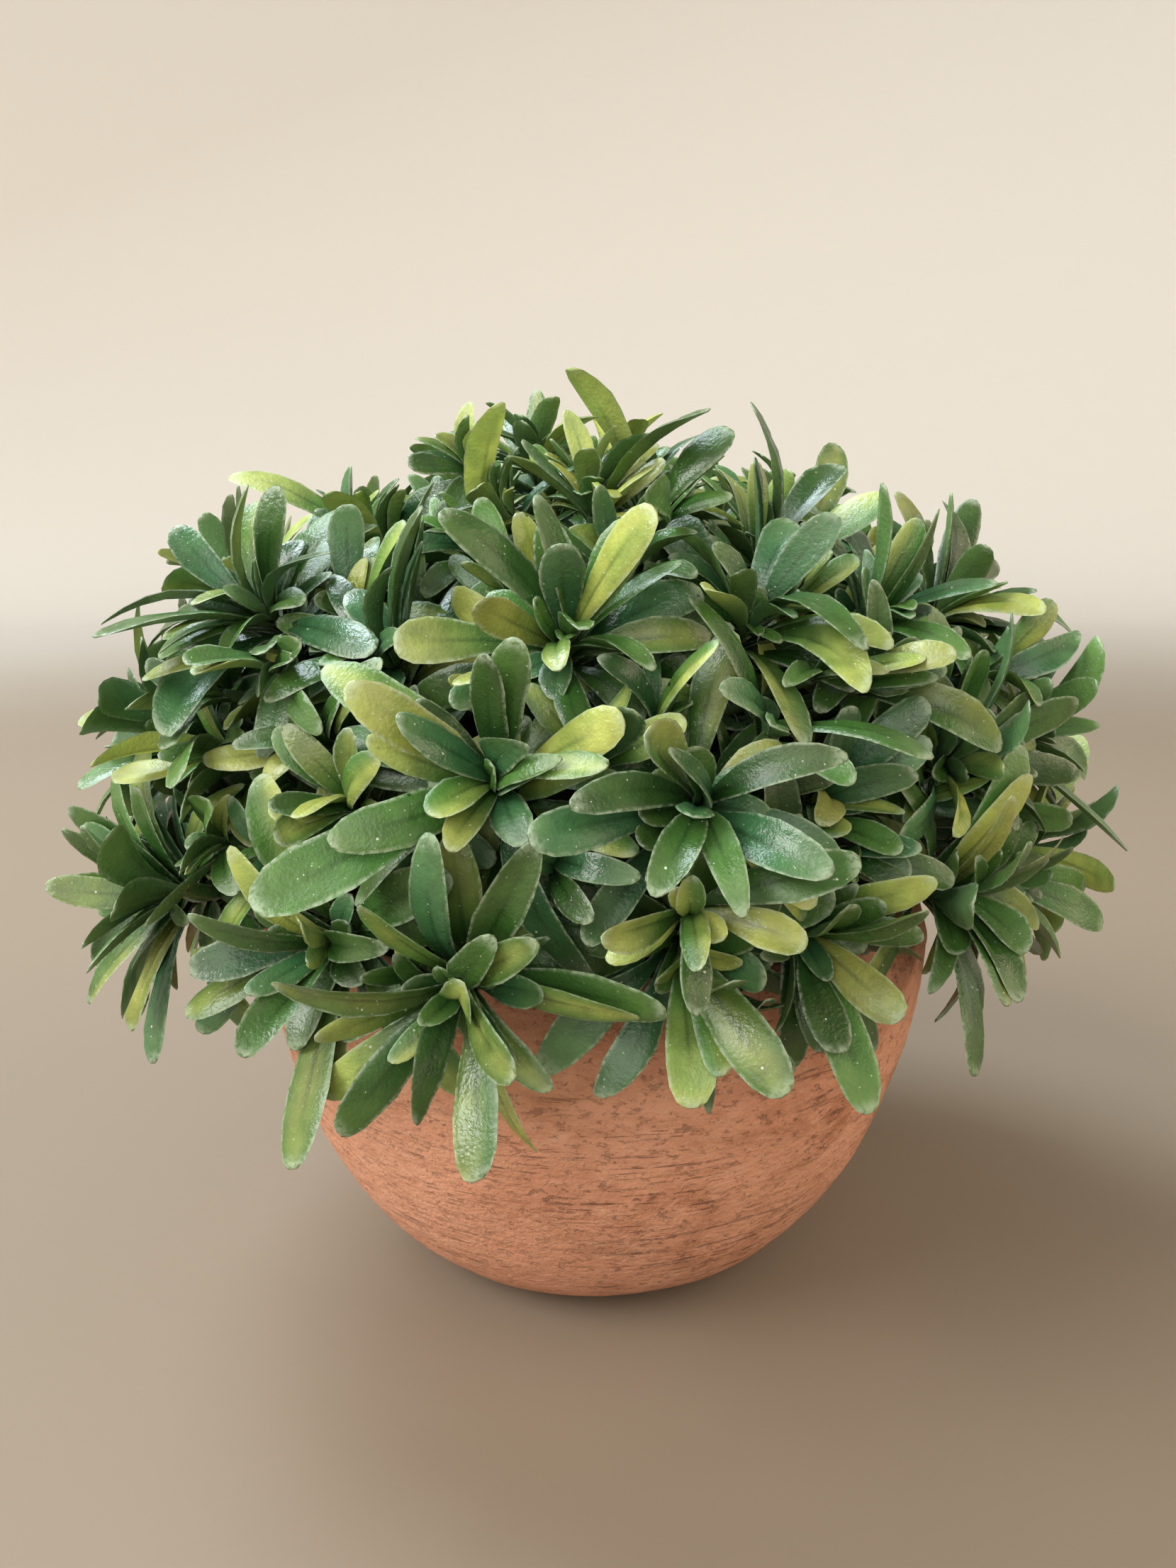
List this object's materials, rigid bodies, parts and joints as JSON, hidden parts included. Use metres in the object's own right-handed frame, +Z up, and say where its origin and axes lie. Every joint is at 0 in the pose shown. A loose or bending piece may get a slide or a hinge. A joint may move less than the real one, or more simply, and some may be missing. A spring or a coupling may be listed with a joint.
{
  "type": "artificial topiary plant in a bowl pot",
  "caption": "Tabletop artificial plant: a low round dome of dense spoon-shaped plastic leaves in a small rounded terracotta bowl, standing on a flat foot.",
  "frame": {"origin": "centre of the pot's flat foot, where the part stands", "axes": "+Z up, the front of the plant faces -Y, +X to the right of someone who looks at the front"},
  "size_m": [0.1606, 0.1643, 0.1437],
  "materials": {
    "terracotta": "matte, streaked with darker brown along the turning lines",
    "dark_foam": "matte, rough",
    "stem_plastic": "satin",
    "leaf_plastic": "satin moulded leaf with yellow-green tips"
  },
  "bodies": {
    "root": {"pot": "terracotta", "foam_plug": "dark_foam", "stem": "stem_plastic", "foliage_skirt_1": "leaf_plastic", "foliage_skirt_2": "leaf_plastic", "foliage_skirt_3": "leaf_plastic", "foliage_skirt_4": "leaf_plastic", "foliage_skirt_5": "leaf_plastic", "foliage_skirt_6": "leaf_plastic", "foliage_shoulder_1": "leaf_plastic", "foliage_shoulder_2": "leaf_plastic", "foliage_shoulder_3": "leaf_plastic", "foliage_shoulder_4": "leaf_plastic", "foliage_shoulder_5": "leaf_plastic", "foliage_top": "leaf_plastic"}
  },
  "joints": []
}
